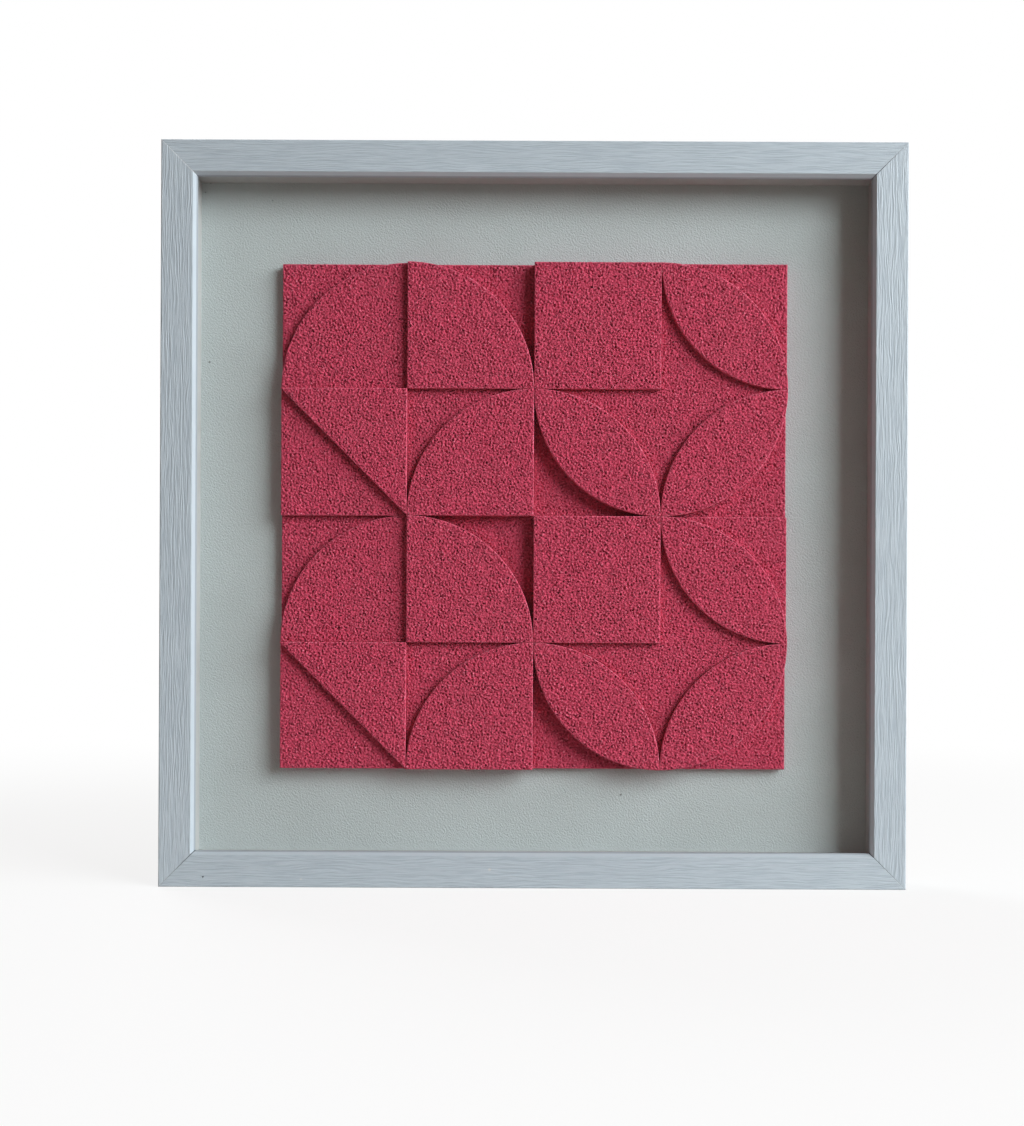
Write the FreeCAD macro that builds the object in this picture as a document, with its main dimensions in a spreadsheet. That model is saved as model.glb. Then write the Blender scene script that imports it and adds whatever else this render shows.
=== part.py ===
import FreeCAD, Part
import math
import os
import Sketcher

# A square box frame with glass, and a relief of thick cut pieces glued to a board inside it.
# The frame stands on its bottom edge: +Z is up, the glass faces -Y and +X is to the right of
# someone who looks at it. The origin is under the middle of the frame, on its lowest edge.
# In each piece, y counts from the frame's front face towards the wall, and x and z count
# from the middle of the square, or of the tile in the relief.

SIZES = {
    # moulding
    "outerSide": 500.0,
    "frameDepth": 42.0,
    "mouldingWidth": 24.0,
    "bevelWidth": 2.4,
    "bevelDepth": 3.4,
    "lipThickness": 5.0,
    "rabbetWidth": 6.0,
    "frontRound": 0.8,
    # what the rabbet holds, from the glass to the panel
    "sheetClearance": 1.0,
    "glassThickness": 2.0,
    "spacerThickness": 3.0,
    "spacerHeight": 25.0,
    "spacerSlack": 0.3,
    "boardThickness": 2.0,
    "panelThickness": 3.0,
    # relief
    "tilePitch": 85.9,
    "tileSeam": 0.3,
    "lowHeight": 8.0,
    "midHeight": 13.5,
    "highHeight": 19.0,
    # V-nails across the mitres
    "nailSteel": 0.6,
    "nailLeg": 5.0,
    "nailLength": 10.0,
    "nailFirst": 3.0,
    "nailSpacing": 7.0,
    # points that hold the panel
    "pointSteel": 0.6,
    "pointWidth": 9.0,
    "pointDepth": 8.0,
    "pointReach": 10.0,
    "pointNose": 4.0,
    "pointSpacing": 150.0,
    # clearance of pressed-in steel
    "slotClearance": 0.05,
    # saw-tooth hangers and their pins
    "hangerOffset": 150.0,
    "hangerLength": 46.0,
    "hangerHeight": 10.0,
    "hangerSteel": 0.8,
    "hangerEar": 9.0,
    "hangerRamp": 3.0,
    "hangerDrop": 9.0,
    "hangerClip": 2.0,
    "standOff": 3.0,
    "toothPitch": 2.0,
    "toothDepth": 1.4,
    "toothLand": 0.2,
    "pinShank": 0.75,
    "pinLength": 11.0,
    "pinHead": 1.9,
    "pinHeadHeight": 0.7,
    "pinEdge": 4.5,
    # bumpers against the wall
    "bumperRadius": 5.0,
    "bumperOffset": 220.0,
    "bumperRise": 9.0,
}

# Places that several pieces share, written with the names above.
HALF = "Sizes.outerSide / 2"
SIGHT = f"({HALF} - Sizes.mouldingWidth)"
WALL = f"({HALF} - Sizes.mouldingWidth + Sizes.rabbetWidth)"
SHEET_HALF = f"({WALL} - Sizes.sheetClearance)"
SPACER_DEPTH = "(Sizes.lipThickness + Sizes.glassThickness)"
BOARD_DEPTH = f"({SPACER_DEPTH} + Sizes.spacerHeight)"
PANEL_DEPTH = f"({BOARD_DEPTH} + Sizes.boardThickness)"
POINT_DEPTH = f"({PANEL_DEPTH} + Sizes.panelThickness)"
FRONT_Y = "-(Sizes.frameDepth + Sizes.standOff) / 2"
HALF_PITCH = "Sizes.tilePitch / 2"
HALF_SEAM = "Sizes.tileSeam / 2"
TILE_EDGE = f"({HALF_PITCH} - {HALF_SEAM})"
INNER_RADIUS = f"(Sizes.tilePitch - {HALF_SEAM})"
OUTER_RADIUS = f"(Sizes.tilePitch + {HALF_SEAM})"
NEAR = 0.001

# The relief, row by row from the top of one half. Each piece has its shape, its row and column,
# its quarter turns clockwise and its height.
UPPER_HALF = [
    ("quarter_disc", 1, 1, 0, "mid"),
    ("corner", 1, 1, 0, "low"),
    ("quarter_disc", 1, 2, 1, "high"),
    ("corner", 1, 2, 1, "low"),
    ("square", 1, 3, 0, "high"),
    ("leaf", 1, 4, 0, "high"),
    ("corner", 1, 4, 1, "mid"),
    ("upper_triangle", 2, 1, 0, "high"),
    ("lower_triangle", 2, 1, 2, "mid"),
    ("quarter_disc", 2, 2, 0, "high"),
    ("corner", 2, 2, 0, "mid"),
    ("leaf", 2, 3, 0, "high"),
    ("corner", 2, 3, 3, "low"),
    ("leaf", 2, 4, 1, "high"),
    ("corner", 2, 4, 2, "low"),
    ("star", 1.5, 3.5, 0, "mid"),
]
ROWS_PER_HALF = 2
TILE_COUNT = 4

doc = FreeCAD.newDocument("framed_paper_relief")
sheet = doc.addObject("Spreadsheet::Sheet", "Sizes")
for rowNumber, (alias, size) in enumerate(SIZES.items(), start=1):
    sheet.set(f"A{rowNumber}", alias)
    sheet.set(f"B{rowNumber}", str(size))
    sheet.setAlias(f"B{rowNumber}", alias)
doc.recompute()

pieces = []


def value(expression):
    """The number that an expression of the sheet gives now."""
    return float(sheet.evalExpression(expression))


def newPiece(label, x="0", y="0", z="0", quarterTurns=0, severalSolids=False):
    """A body at a place of the frame, turned clockwise as seen from the front."""
    body = doc.addObject("PartDesign::Body", label)
    body.Label = label
    body.AllowCompound = severalSolids
    turn = FreeCAD.Rotation(FreeCAD.Vector(0, 1, 0), 90 * quarterTurns)
    body.Placement = FreeCAD.Placement(FreeCAD.Vector(0, 0, 0), turn)
    body.setExpression("Placement.Base.x", x)
    body.setExpression("Placement.Base.y", f"{FRONT_Y} + {y}")
    body.setExpression("Placement.Base.z", f"{HALF} + {z}")
    pieces.append(body)
    return body


def originFeature(body, role):
    for feature in body.Origin.OriginFeatures:
        if feature.Role == role:
            return feature
    raise LookupError(role)


def newSketch(body, plane, offset="0"):
    """A sketch on one of the body's planes, moved along that plane's normal."""
    sketch = body.newObject("Sketcher::SketchObject", f"{body.Name}_outline")
    sketch.AttachmentSupport = [(originFeature(body, plane), "")]
    sketch.MapMode = "FlatFace"
    sketch.setExpression("AttachmentOffset.Base.z", offset)
    return sketch


def drive(sketch, kind, *args):
    """A dimension of a sketch that follows an expression; its value comes last."""
    *where, expression = args
    index = sketch.addConstraint(Sketcher.Constraint(kind, *where, value(expression)))
    sketch.setExpression(f"Constraints[{index}]", expression)


def placePoint(sketch, geometry, end, x, y):
    """Hold one end, or the centre, of a line or arc at x, y of the sketch."""
    for kind, axis, expression in (("DistanceX", -2, x), ("DistanceY", -1, y)):
        if expression == "0":
            sketch.addConstraint(Sketcher.Constraint("PointOnObject", geometry, end, axis))
        else:
            drive(sketch, kind, -1, 1, geometry, end, expression)


def addPolygon(sketch, corners):
    """A closed outline of straight lines through corners given as expressions."""
    spots = [FreeCAD.Vector(value(x), value(y), 0) for x, y in corners]
    lines = []
    for start, end in zip(spots, spots[1:] + spots[:1]):
        lines.append(sketch.addGeometry(Part.LineSegment(start, end), False))
    for line, following in zip(lines, lines[1:] + lines[:1]):
        sketch.addConstraint(Sketcher.Constraint("Coincident", line, 2, following, 1))
    for line, (x, y) in zip(lines, corners):
        placePoint(sketch, line, 1, x, y)
    return lines


def addRectangle(sketch, left, bottom, right, top):
    return addPolygon(sketch, [(left, bottom), (right, bottom), (right, top), (left, top)])


def addCircle(sketch, x, y, radius):
    centre = FreeCAD.Vector(value(x), value(y), 0)
    circle = sketch.addGeometry(Part.Circle(centre, FreeCAD.Vector(0, 0, 1), value(radius)), False)
    placePoint(sketch, circle, 3, x, y)
    drive(sketch, "Radius", circle, radius)


def angleFrom(centre, spot):
    """The direction of a spot from a centre, from 0 to a full turn."""
    return math.atan2(spot.y - centre.y, spot.x - centre.x) % (2 * math.pi)


def addArc(sketch, x, y, radius, startAngle, endAngle):
    """An arc with its centre and radius held; what it meets decides its ends."""
    centre = FreeCAD.Vector(value(x), value(y), 0)
    circle = Part.Circle(centre, FreeCAD.Vector(0, 0, 1), value(radius))
    arc = sketch.addGeometry(Part.ArcOfCircle(circle, startAngle, endAngle), False)
    placePoint(sketch, arc, 3, x, y)
    drive(sketch, "Radius", arc, radius)
    return arc


def pad(body, sketch, length, feature="Pad", backwards=False, symmetric=False):
    result = body.newObject(f"PartDesign::{feature}", f"{body.Name}_{feature.lower()}")
    result.Profile = sketch
    result.Reversed = backwards
    if symmetric:
        result.SideType = "Symmetric"
    result.setExpression("Length", length)
    body.Tip = result
    return result


def pocket(body, sketch, length, backwards=False, symmetric=False):
    return pad(body, sketch, length, "Pocket", backwards, symmetric)


def dressEdges(body, base, isWanted, kind, dimension, expression):
    """A fillet or chamfer on the edges of a feature that a test picks out."""
    doc.recompute()
    names = [f"Edge{i}" for i, edge in enumerate(base.Shape.Edges, start=1) if isWanted(edge)]
    dressed = body.newObject(f"PartDesign::{kind}", f"{body.Name}_{kind.lower()}")
    dressed.Base = (base, names)
    dressed.setExpression(dimension, expression)
    body.Tip = dressed


def repeat(body, feature, *steps):
    """The feature copied by patterns and mirrors in turn, as one MultiTransform."""
    result = body.newObject("PartDesign::MultiTransform", f"{body.Name}_copies")
    result.Originals = [feature]
    result.Transformations = list(steps)
    body.Tip = result
    return result


def linearCopies(body, axis, span, count):
    step = body.newObject("PartDesign::LinearPattern", f"{body.Name}_row")
    step.Direction = (originFeature(body, axis), [""])
    step.setExpression("Length", span)
    step.Occurrences = count
    return step


def polarCopies(body, axis, count):
    step = body.newObject("PartDesign::PolarPattern", f"{body.Name}_ring")
    step.Axis = (originFeature(body, axis), [""])
    step.Angle = 360
    step.Occurrences = count
    return step


def mirrorCopies(body, plane):
    step = body.newObject("PartDesign::Mirrored", f"{body.Name}_mirror")
    step.MirrorPlane = (originFeature(body, plane), [""])
    return step


# moulding

RAIL_SIDES = ("top", "right", "bottom", "left")
POINTS_PER_SIDE = 3
NAILS_PER_CORNER = 2
PIN_X = "(Sizes.hangerLength / 2 - Sizes.pinEdge)"
HANGER_Z = f"({HALF} - Sizes.hangerDrop)"


def drawNail(sketch, number, clearance="0"):
    """One V-nail across the mitre at the top right, its point towards the glass."""
    apex = f"({WALL} + Sizes.nailFirst + {number} * Sizes.nailSpacing)"
    near = f"({apex} - Sizes.nailSteel / 2 - {clearance})"
    far = f"({apex} + Sizes.nailSteel / 2 + {clearance})"
    end = f"({apex} + Sizes.nailLeg + {clearance})"
    addPolygon(sketch, [(near, near), (end, near), (end, far), (far, far), (far, end), (near, end)])


def drawPoint(sketch, clearance="0"):
    """The first panel point of the top side, its nose in the rabbet wall."""
    middle = f"-{POINTS_PER_SIDE - 1} * Sizes.pointSpacing / 2"
    left = f"({middle} - Sizes.pointWidth / 2 - {clearance})"
    right = f"({middle} + Sizes.pointWidth / 2 + {clearance})"
    tip = f"({WALL} + Sizes.pointDepth + {clearance})"
    shoulder = f"({tip} - Sizes.pointNose)"
    foot = f"({WALL} - Sizes.pointReach)"
    addPolygon(sketch, [(left, foot), (right, foot), (right, shoulder), (middle, tip),
                        (left, shoulder)])


def pointRow(body):
    span = f"{POINTS_PER_SIDE - 1} * Sizes.pointSpacing"
    return linearCopies(body, "X_Axis", span, POINTS_PER_SIDE)


def pinPair(body):
    """From one pin to the four that hold both hangers."""
    return [linearCopies(body, "X_Axis", f"2 * {PIN_X}", 2),
            linearCopies(body, "X_Axis", "2 * Sizes.hangerOffset", 2)]


def makeRail(side, quarterTurns):
    """One length of moulding: the profile drawn out, mitred, then slotted for its steel."""
    body = newPiece(f"{side}_rail", quarterTurns=quarterTurns)
    profile = newSketch(body, "YZ_Plane")
    addPolygon(profile, [
        ("0", HALF),
        ("0", f"{SIGHT} + Sizes.bevelWidth"),
        ("Sizes.bevelDepth", SIGHT),
        ("Sizes.lipThickness", SIGHT),
        ("Sizes.lipThickness", WALL),
        ("Sizes.frameDepth", WALL),
        ("Sizes.frameDepth", HALF),
    ])
    length = pad(body, profile, "Sizes.outerSide", symmetric=True)

    def isFrontArris(edge):
        middle = edge.CenterOfMass
        return abs(middle.y) < NEAR and abs(middle.z - value(HALF)) < NEAR

    dressEdges(body, length, isFrontArris, "Fillet", "Radius", "Sizes.frontRound")

    mitre = newSketch(body, "XZ_Plane")
    for end in ("", "-"):
        addPolygon(mitre, [(f"{end}Sizes.outerSide", "Sizes.outerSide"), ("0", "0"),
                           (f"{end}Sizes.outerSide", "0")])
    pocket(body, mitre, "Sizes.outerSide", symmetric=True)

    nailSlots = newSketch(body, "XZ_Plane", "-Sizes.frameDepth")
    for number in range(NAILS_PER_CORNER):
        drawNail(nailSlots, number, "Sizes.slotClearance")
    repeat(body, pocket(body, nailSlots, "Sizes.nailLength", backwards=True),
           mirrorCopies(body, "YZ_Plane"))

    pointSlot = newSketch(body, "XZ_Plane", f"-({POINT_DEPTH} + Sizes.pointSteel)")
    drawPoint(pointSlot, "Sizes.slotClearance")
    repeat(body, pocket(body, pointSlot, "Sizes.pointSteel", backwards=True), pointRow(body))

    if side == "top":
        pilot = newSketch(body, "XZ_Plane", "-Sizes.frameDepth")
        addCircle(pilot, f"(-Sizes.hangerOffset - {PIN_X})", HANGER_Z,
                  "Sizes.pinShank + Sizes.slotClearance")
        hole = pocket(body, pilot, "Sizes.pinLength - Sizes.hangerSteel", backwards=True)
        repeat(body, hole, *pinPair(body))


for turns, side in enumerate(RAIL_SIDES):
    makeRail(side, turns)

nails = newPiece("corner_v_nails", severalSolids=True)
nailSketch = newSketch(nails, "XZ_Plane", "-Sizes.frameDepth")
for nailNumber in range(NAILS_PER_CORNER):
    drawNail(nailSketch, nailNumber)
repeat(nails, pad(nails, nailSketch, "Sizes.nailLength"), polarCopies(nails, "Y_Axis", len(RAIL_SIDES)))

points = newPiece("retaining_points", severalSolids=True)
pointSketch = newSketch(points, "XZ_Plane", f"-({POINT_DEPTH} + Sizes.pointSteel)")
drawPoint(pointSketch)
repeat(points, pad(points, pointSketch, "Sizes.pointSteel"), pointRow(points),
       polarCopies(points, "Y_Axis", len(RAIL_SIDES)))


# what stands in the rabbet

def makeSheet(label, depth, thickness):
    """A square sheet that fills the rabbet but for its clearance."""
    body = newPiece(label)
    sketch = newSketch(body, "XZ_Plane", f"-({depth} + {thickness})")
    addRectangle(sketch, f"-{SHEET_HALF}", f"-{SHEET_HALF}", SHEET_HALF, SHEET_HALF)
    pad(body, sketch, thickness)


def makeSpacer(side, quarterTurns):
    """A strip on edge between glass and board; the upright ones fit between the level ones."""
    body = newPiece(f"{side}_spacer", quarterTurns=quarterTurns)
    isLevel = side in ("top", "bottom")
    end = WALL if isLevel else f"({WALL} - Sizes.spacerThickness)"
    end = f"({end} - Sizes.spacerSlack)"
    sketch = newSketch(body, "XZ_Plane", f"-{BOARD_DEPTH}")
    addRectangle(sketch, f"-{end}", f"{WALL} - Sizes.spacerThickness", end, WALL)
    pad(body, sketch, "Sizes.spacerHeight")


makeSheet("glass_pane", "Sizes.lipThickness", "Sizes.glassThickness")
for turns, side in enumerate(RAIL_SIDES):
    makeSpacer(side, turns)
makeSheet("backing_board", BOARD_DEPTH, "Sizes.boardThickness")
makeSheet("back_panel", PANEL_DEPTH, "Sizes.panelThickness")


# relief

def drawSquare(sketch):
    addRectangle(sketch, f"-{TILE_EDGE}", f"-{TILE_EDGE}", TILE_EDGE, TILE_EDGE)


def drawTriangle(sketch):
    """The half tile above the diagonal that falls to the right."""
    diagonal = f"(Sizes.tileSeam / sqrt(2) - {TILE_EDGE})"
    addPolygon(sketch, [(TILE_EDGE, TILE_EDGE), (diagonal, TILE_EDGE), (TILE_EDGE, diagonal)])


def drawWedge(sketch, cornerX, cornerY, radius):
    """Two edges of a tile and an arc round its lower right corner."""
    cornerSpot = FreeCAD.Vector(value(cornerX), value(cornerY), 0)
    centre = FreeCAD.Vector(value(HALF_PITCH), -value(HALF_PITCH), 0)
    reach = value(radius)
    upright = centre.y + math.sqrt(reach ** 2 - (cornerSpot.x - centre.x) ** 2)
    level = centre.x - math.sqrt(reach ** 2 - (cornerSpot.y - centre.y) ** 2)
    uprightEnd = FreeCAD.Vector(cornerSpot.x, upright, 0)
    levelEnd = FreeCAD.Vector(level, cornerSpot.y, 0)
    uprightLine = sketch.addGeometry(Part.LineSegment(cornerSpot, uprightEnd), False)
    levelLine = sketch.addGeometry(Part.LineSegment(cornerSpot, levelEnd), False)
    sketch.addConstraint(Sketcher.Constraint("Vertical", uprightLine))
    sketch.addConstraint(Sketcher.Constraint("Horizontal", levelLine))
    sketch.addConstraint(Sketcher.Constraint("Coincident", uprightLine, 1, levelLine, 1))
    placePoint(sketch, uprightLine, 1, cornerX, cornerY)
    ends = sorted([(angleFrom(centre, uprightEnd), uprightLine), (angleFrom(centre, levelEnd), levelLine)])
    arc = addArc(sketch, HALF_PITCH, f"-{HALF_PITCH}", radius, ends[0][0], ends[1][0])
    sketch.addConstraint(Sketcher.Constraint("Coincident", arc, 1, ends[0][1], 2))
    sketch.addConstraint(Sketcher.Constraint("Coincident", arc, 2, ends[1][1], 2))


def drawQuarterDisc(sketch):
    drawWedge(sketch, TILE_EDGE, f"-{TILE_EDGE}", INNER_RADIUS)


def drawCorner(sketch):
    """What a quarter disc leaves of its tile."""
    drawWedge(sketch, f"-{TILE_EDGE}", TILE_EDGE, OUTER_RADIUS)


def drawLeaf(sketch):
    """Two arcs that meet at the upper left and lower right corners of a tile."""
    centre = FreeCAD.Vector(-value(HALF_PITCH), -value(HALF_PITCH), 0)
    tip = math.sqrt(value(INNER_RADIUS) ** 2 / 2 - value(HALF_PITCH) ** 2)
    low = angleFrom(centre, FreeCAD.Vector(tip, -tip, 0))
    high = angleFrom(centre, FreeCAD.Vector(-tip, tip, 0))
    upper = addArc(sketch, f"-{HALF_PITCH}", f"-{HALF_PITCH}", INNER_RADIUS, low, high)
    lower = addArc(sketch, HALF_PITCH, HALF_PITCH, INNER_RADIUS, low + math.pi, high + math.pi)
    sketch.addConstraint(Sketcher.Constraint("Coincident", upper, 2, lower, 1))
    sketch.addConstraint(Sketcher.Constraint("Coincident", lower, 2, upper, 1))


def drawStar(sketch):
    """Three hollow corners in one piece, round the lower right corner of the full square."""
    pitch = "Sizes.tilePitch"
    reach = value(OUTER_RADIUS)
    side = value(pitch)
    seam = value(HALF_SEAM)
    blunt = side - math.sqrt(reach ** 2 - (side - seam) ** 2)
    sharp = math.sqrt(reach ** 2 - side ** 2) - side
    inner = FreeCAD.Vector(seam, -seam, 0)
    top = FreeCAD.Vector(seam, blunt, 0)
    left = FreeCAD.Vector(-blunt, -seam, 0)
    bottom = FreeCAD.Vector(0, sharp, 0)
    right = FreeCAD.Vector(-sharp, 0, 0)
    upright = sketch.addGeometry(Part.LineSegment(inner, top), False)
    level = sketch.addGeometry(Part.LineSegment(inner, left), False)
    sketch.addConstraint(Sketcher.Constraint("Vertical", upright))
    sketch.addConstraint(Sketcher.Constraint("Horizontal", level))
    sketch.addConstraint(Sketcher.Constraint("Coincident", upright, 1, level, 1))
    placePoint(sketch, upright, 1, HALF_SEAM, f"-{HALF_SEAM}")
    arcs = []
    for x, y, start, end in ((pitch, pitch, top, right), (pitch, f"-{pitch}", right, bottom),
                             (f"-{pitch}", f"-{pitch}", bottom, left)):
        centre = FreeCAD.Vector(value(x), value(y), 0)
        arcs.append(addArc(sketch, x, y, OUTER_RADIUS, angleFrom(centre, start), angleFrom(centre, end)))
    sketch.addConstraint(Sketcher.Constraint("Coincident", upright, 2, arcs[0], 1))
    sketch.addConstraint(Sketcher.Constraint("Coincident", arcs[0], 2, arcs[1], 1))
    sketch.addConstraint(Sketcher.Constraint("Coincident", arcs[1], 2, arcs[2], 1))
    sketch.addConstraint(Sketcher.Constraint("Coincident", arcs[2], 2, level, 2))


DRAW = {
    "quarter_disc": drawQuarterDisc,
    "corner": drawCorner,
    "square": drawSquare,
    "leaf": drawLeaf,
    "upper_triangle": drawTriangle,
    "lower_triangle": drawTriangle,
    "star": drawStar,
}


def makeReliefPiece(shape, row, column, quarterTurns, height):
    """One cut piece, glued by its back to the board."""
    middle = (TILE_COUNT + 1) / 2
    place = f"r{math.ceil(row)}c{math.ceil(column)}"
    body = newPiece(f"{shape}_{place}", f"{column - middle} * Sizes.tilePitch", BOARD_DEPTH,
                    f"{middle - row} * Sizes.tilePitch", quarterTurns)
    sketch = newSketch(body, "XZ_Plane")
    DRAW[shape](sketch)
    pad(body, sketch, f"Sizes.{height}Height")


for firstRow in range(0, TILE_COUNT, ROWS_PER_HALF):
    for shape, row, column, turns, height in UPPER_HALF:
        makeReliefPiece(shape, row + firstRow, column, turns, height)


# hardware on the back

TEETH = 10


def makeHanger(label, side):
    """A strip with two flat ears, bent out between them, with teeth under the raised part."""
    body = newPiece(label, f"{side}Sizes.hangerOffset", "Sizes.frameDepth", HANGER_Z)
    end = "Sizes.hangerLength / 2"
    bend = f"({end} - Sizes.hangerEar)"
    crest = f"({bend} - Sizes.hangerRamp)"
    rise = "(Sizes.standOff - Sizes.hangerSteel)"
    strip = newSketch(body, "XY_Plane")
    under = [(end, "0"), (bend, "0"), (crest, rise)]
    over = [(crest, "Sizes.standOff"), (bend, "Sizes.hangerSteel"), (end, "Sizes.hangerSteel")]
    underLeft = [(f"-{x}", y) for x, y in reversed(under)]
    overLeft = [(f"-{x}", y) for x, y in reversed(over)]
    addPolygon(strip, under + underLeft + overLeft + over)
    bent = pad(body, strip, "Sizes.hangerHeight", symmetric=True)

    def isEarCorner(edge):
        middle = edge.CenterOfMass
        return (abs(abs(middle.x) - value(end)) < NEAR
                and abs(abs(middle.z) - value("Sizes.hangerHeight") / 2) < NEAR)

    dressEdges(body, bent, isEarCorner, "Chamfer", "Size", "Sizes.hangerClip")

    first = f"(-{TEETH} * Sizes.toothPitch / 2)"
    edge = "-Sizes.hangerHeight / 2"
    notch = newSketch(body, "XZ_Plane")
    addPolygon(notch, [
        (f"{first} + Sizes.toothLand", edge),
        (f"{first} + Sizes.toothPitch / 2", f"{edge} + Sizes.toothDepth"),
        (f"{first} + Sizes.toothPitch - Sizes.toothLand", edge),
    ])
    cut = pocket(body, notch, "2 * Sizes.standOff", symmetric=True)
    repeat(body, cut, linearCopies(body, "X_Axis", f"{TEETH - 1} * Sizes.toothPitch", TEETH))

    hole = newSketch(body, "XZ_Plane")
    addCircle(hole, f"-{PIN_X}", "0", "Sizes.pinShank + Sizes.slotClearance")
    pinHole = pocket(body, hole, "2 * Sizes.standOff", symmetric=True)
    repeat(body, pinHole, mirrorCopies(body, "YZ_Plane"))


def makeBumper(label, side):
    body = newPiece(label, f"{side}Sizes.bumperOffset", "Sizes.frameDepth",
                    f"(Sizes.bumperRise - {HALF})")
    sketch = newSketch(body, "XZ_Plane", "-Sizes.standOff")
    addCircle(sketch, "0", "0", "Sizes.bumperRadius")
    pad(body, sketch, "Sizes.standOff")


makeHanger("left_hanger", "-")
makeHanger("right_hanger", "")

pins = newPiece("hanger_pins", f"(-Sizes.hangerOffset - {PIN_X})",
                "(Sizes.frameDepth + Sizes.hangerSteel)", HANGER_Z, severalSolids=True)
pinProfile = newSketch(pins, "XY_Plane")
addPolygon(pinProfile, [
    ("0", "-Sizes.pinLength"),
    ("Sizes.pinShank", "-Sizes.pinLength + 2 * Sizes.pinShank"),
    ("Sizes.pinShank", "0"),
    ("Sizes.pinHead", "0"),
    ("Sizes.pinHead", "Sizes.pinHeadHeight"),
    ("0", "Sizes.pinHeadHeight"),
])
pin = pins.newObject("PartDesign::Revolution", "hanger_pins_turned")
pin.Profile = pinProfile
pin.ReferenceAxis = (originFeature(pins, "Y_Axis"), [""])
pins.Tip = pin
repeat(pins, pin, *pinPair(pins))

makeBumper("left_bumper", "-")
makeBumper("right_bumper", "")


# test and write

doc.recompute()
for item in doc.Objects:
    if "Invalid" in item.State or "Error" in item.State:
        raise RuntimeError(f"{item.Label} failed: {item.State}")
for piece in pieces:
    if piece.Shape.isNull() or not piece.Shape.isValid():
        raise RuntimeError(f"{piece.Label} has no valid shape")

os.makedirs("parts", exist_ok=True)
for piece in pieces:
    piece.Shape.exportStep(f"parts/{piece.Label}.step")
print(f"{len(pieces)} pieces, {sum(len(piece.Shape.Solids) for piece in pieces)} solids")
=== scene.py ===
import bpy
import math
import numpy as np
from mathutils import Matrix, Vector, geometry, kdtree


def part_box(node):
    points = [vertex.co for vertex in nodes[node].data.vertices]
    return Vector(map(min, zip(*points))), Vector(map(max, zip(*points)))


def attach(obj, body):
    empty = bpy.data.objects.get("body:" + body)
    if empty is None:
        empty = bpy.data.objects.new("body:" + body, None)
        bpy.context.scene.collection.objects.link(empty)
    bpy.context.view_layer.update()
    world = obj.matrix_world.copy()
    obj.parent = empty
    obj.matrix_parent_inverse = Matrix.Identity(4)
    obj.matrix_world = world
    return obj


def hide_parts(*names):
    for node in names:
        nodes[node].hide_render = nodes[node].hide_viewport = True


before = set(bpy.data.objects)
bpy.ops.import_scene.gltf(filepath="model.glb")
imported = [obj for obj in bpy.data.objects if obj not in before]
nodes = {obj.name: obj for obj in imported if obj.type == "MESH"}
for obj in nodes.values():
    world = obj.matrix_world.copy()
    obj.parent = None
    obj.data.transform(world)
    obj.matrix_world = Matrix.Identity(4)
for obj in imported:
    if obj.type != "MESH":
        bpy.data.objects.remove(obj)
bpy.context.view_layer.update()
millimetre = 0.001

# places that the whole scene shares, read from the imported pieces
railLow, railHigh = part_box("top_rail")
boardLow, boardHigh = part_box("backing_board")
squareLow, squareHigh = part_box("square_r1c3")
lowerSquareLow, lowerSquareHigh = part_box("square_r3c3")
halfSide = railHigh.x
middleZ = halfSide  # the frame stands on its bottom edge
sightHalf = railLow.z - middleZ
frontY = railLow.y
backY = railHigh.y
print("frame loaded:", len(nodes), "nodes")


def seen(red, green, blue):  # a colour as it looks, 0 to 255, made linear for a shader
    return tuple(c / 12.92 if c <= 0.04045 else ((c + 0.055) / 1.055) ** 2.4
                 for c in (red / 255, green / 255, blue / 255)) + (1.0,)


# camera: where the photo was taken from, as distances and as pixels of the photo
cameraFit = {
    "photoWidth": 1024, "photoHeight": 1126,
    "distance": 1.1216,  # from the frame's front face
    "pixelsPerMetre": 1496,  # on that face
    "frameColumn": 533, "frameRow": 514.5,  # the frame's middle
    "axisColumn": 540.8, "axisRow": 627,  # where the camera points
    "roll": -0.25,
    "sensor": 36,
}


def makeCamera():
    fit = cameraFit
    longSide = fit["photoHeight"]
    camera = bpy.data.cameras.new("camera")
    camera.sensor_width = fit["sensor"]
    camera.lens = fit["sensor"] * fit["pixelsPerMetre"] * fit["distance"] / longSide
    camera.shift_x = (fit["photoWidth"] / 2 - fit["axisColumn"]) / longSide
    camera.shift_y = (fit["axisRow"] - fit["photoHeight"] / 2) / longSide
    camera.clip_start = 0.05
    camera.clip_end = 50
    stand = bpy.data.objects.new("camera", camera)
    stand.location = ((fit["axisColumn"] - fit["frameColumn"]) / fit["pixelsPerMetre"],
                      frontY - fit["distance"],
                      middleZ - (fit["axisRow"] - fit["frameRow"]) / fit["pixelsPerMetre"])
    stand.rotation_euler = (math.radians(90), math.radians(fit["roll"]), 0)
    bpy.context.scene.collection.objects.link(stand)
    bpy.context.scene.camera = stand


# light: a soft window to the right and above, a pale wall that grazes the front, and a weak warm room
light = {
    "distance": 3.4,  # of the lamps, from the middle of the frame
    "colour": (0.92, 0.98, 1.0),
    "lamps": {  # direction from the frame, width, height, power
        "window": ((1.0, -1.0, 0.55), 1.74, 1.9, 115),
        "wall": ((1.0, -0.30, 0.30), 1.5, 1.9, 68),
        "back": ((-0.7, 1.0, 1.1), 1.5, 1.5, 52),
    },
    "room": (1.0, 0.73, 0.61), "roomLevel": 0.18,
    "roomSeenInGlass": 0.06,  # how bright the room in front looks in the glass
}


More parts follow.
